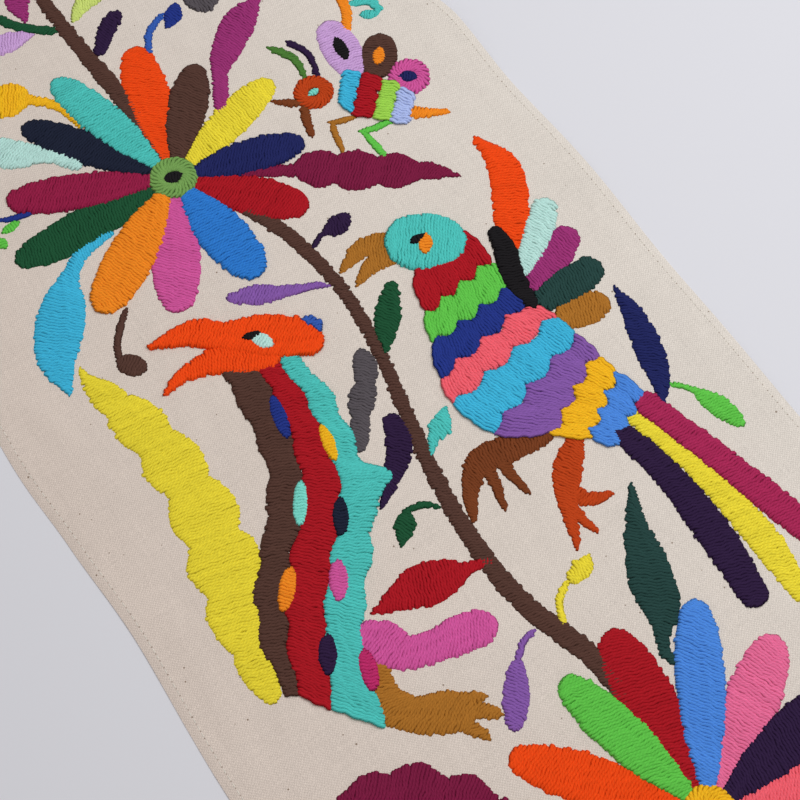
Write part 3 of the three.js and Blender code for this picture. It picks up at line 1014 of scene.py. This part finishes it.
# Insects. Two small winged insects, each with a ring for its head, four bands for its body, three wings
# with a spot on each, and thin feelers, jaws, legs and tail, all in satin stitch.
INSECT_HEADS = [np.array([-189.0, 79.0]), np.array([408.0, 66.0])]
INSECT_BANDS = [
    (None, -2, 21, 14, 8),
    ("sky", 5, 30, 25, 10),
    ("red", 16, 37, 34, 18),
    ("apple", 25, 43, 41, 25),
    ("pale_blue", 37, 45, 49, 32),
]
INSECT_WINGS = [  # dye, spot dye, middle x and y, length, width, heading in degrees
    ("lilac", "black", -16, 30, 42, 22, -8),
    ("brown", "amber", 1, 45, 29, 21, -38),
]
INSECT_ROUNDS = [  # dye, middle x and y, two radii, swirl, and the spot's dye, length, width, heading
    ("pink", 23, 51, 4, 12, 0.8, "navy", 9, 7, 55),
    ("rust", 0, 0, 3.5, 11.5, 1.4, "aqua", 6, 4, 100),
]
INSECT_BAND_DEPTH, WING_SPOT = 1.2, 0.36
LIMB_LAYER, INSECT_BODY_LAYER = 0.1, 0.8
WING_LAYER, WING_SPOT_LAYER = 0.1, 0.9
ROUND_LAYER, ROUND_SPOT_LAYER = 0.3, 0.6
INSECT_LIMBS = [  # dye, rows of x, y and width
    ("dark_purple", [(-8, 8, 3.4), (-22, 12, 3.8), (-30, 11, 4.2), (-38, 7, 5.5)]),
    ("fern", [(-11, 1, 3.6), (-24, 4, 4.6), (-34, 0, 5.2), (-41, -5, 3)]),
    ("lime", [(42, 27, 4), (41, 17, 3.8), (38, 7, 3.4)]),
    ("lime", [(38, 8, 3.4), (50, 9, 4), (61, 9, 3.6)]),
    ("ochre", [(28, 10, 3.6), (26, 3, 3.4), (23, -4, 3.4)]),
    ("ochre", [(23, -3, 3.4), (33, -6, 3.8), (44, -9, 2.6)]),
    ("chestnut", [(4, -7, 5), (-1, -15, 5.4), (-8, -23, 3.4)]),
    ("chestnut", [(4, -9, 5.6), (14, -14, 5.6), (25, -17, 3)]),
    ("amber", [(43, 38, 9), (49, 46, 6.5), (55, 56, 4)]),
]


def insect(head):
    fills = [ribbon(dye, moved(rows, head), layer=LIMB_LAYER) for dye, rows in INSECT_LIMBS]
    fills += bands(INSECT_BANDS, head, INSECT_BAND_DEPTH, INSECT_BODY_LAYER)
    for dye, spot_dye, x, y, long, short, turn in INSECT_WINGS:
        fills.append(spot(dye, head + (x, y), long, short, turn, WING_LAYER))
        spot_size = WING_SPOT * long, WING_SPOT * short
        fills.append(spot(spot_dye, head + (x, y), *spot_size, turn, WING_SPOT_LAYER))
    for dye, x, y, inner, outer, swirl, spot_dye, long, short, turn in INSECT_ROUNDS:
        fills.append(rosette(dye, head + (x, y), inner, outer, swirl, ROUND_LAYER))
        fills.append(spot(spot_dye, head + (x, y), long, short, turn, ROUND_SPOT_LAYER))
    return fills


insects = [fill for head in INSECT_HEADS for fill in insect(head)]
insect_piece = embroider("embroidered_insects", insects)


# Table top. A plain white top with a faint cool cast, far larger than the runner that lies on it.
# It is the stage for the picture and no part of the runner.
TABLE_SIZE = 30.0
TABLE, TABLE_CLOUD = (0.787, 0.779, 0.816, 1), (0.72, 0.72, 0.76, 1)
bpy.ops.object.select_all(action="DESELECT")
bpy.ops.mesh.primitive_plane_add(size=TABLE_SIZE)
table = bpy.context.active_object
table.name = "table_top"
table_white, start, shader = new_finish("table_white")
place = start.node("ShaderNodeTexCoord", out="Object")
mottle = start.node("ShaderNodeTexNoise", sockets={"Vector": place, "Scale": 3.0, "Detail": 2.0})
start.mix(mottle * 0.04, TABLE, TABLE_CLOUD).feed(shader, "Base Color")
shader.inputs["Roughness"].default_value = 0.8
shader.inputs["Specular IOR Level"].default_value = 0.25
table.data.materials.append(table_white)


# Camera and light. The camera looks steeply down on the runner from its near right side, as in the
# photo. One large soft light hangs above and to the right, with an even pale light all round.
IMAGE_SIZE = 800
FOCAL_PIXELS = 1743.0
CAMERA_DISTANCE, CAMERA_HEIGHT_ANGLE, CAMERA_TURN = 0.9256, 65.0, 55.2
LOOK_AT = np.array([0.0, 0.0085, 0.0])
SENSOR = 36.0
WINDOW_SIZE, WINDOW_WATTS, WINDOW_COLOUR = 1.45, 11.4, (0.93, 0.965, 1.0)
WINDOW_RIGHT, WINDOW_AWAY, WINDOW_UP = 0.5, 0.34, 1.14
ROOM_COLOUR, ROOM_STRENGTH = (1.0, 0.97, 0.957, 1), 0.41

turn, up = math.radians(CAMERA_TURN), math.radians(CAMERA_HEIGHT_ANGLE)
towards = np.array([math.sin(turn) * math.cos(up), -math.cos(turn) * math.cos(up), math.sin(up)])
picture_right = np.array([math.cos(turn), math.sin(turn), 0])
picture_away = np.array([-math.sin(turn), math.cos(turn), 0])
lens = bpy.data.cameras.new("camera")
lens.lens = SENSOR * FOCAL_PIXELS / IMAGE_SIZE
lens.sensor_width = SENSOR
lens.clip_start = 0.01
camera = bpy.data.objects.new("camera", lens)
camera.location = LOOK_AT + towards * CAMERA_DISTANCE
camera.rotation_euler = (math.pi / 2 - up, 0, turn)
bpy.context.collection.objects.link(camera)
bpy.context.scene.camera = camera

window = bpy.data.lights.new("window", "AREA")
window.shape, window.size, window.energy = "DISK", WINDOW_SIZE, WINDOW_WATTS
window.color = WINDOW_COLOUR
window_place = picture_right * WINDOW_RIGHT + picture_away * WINDOW_AWAY + np.array([0, 0, WINDOW_UP])
window_lamp = bpy.data.objects.new("window", window)
window_lamp.location = window_place
aim = -window_place / np.linalg.norm(window_place)
window_lamp.rotation_euler = (math.acos(-aim[2]), 0, math.atan2(-aim[0], aim[1]))
bpy.context.collection.objects.link(window_lamp)
world = bpy.data.worlds.new("pale_room")
world.use_nodes = True
room_light = world.node_tree.nodes["Background"]
room_light.inputs["Color"].default_value = ROOM_COLOUR
room_light.inputs["Strength"].default_value = ROOM_STRENGTH
bpy.context.scene.world = world
bpy.context.scene.view_settings.view_transform = "Standard"
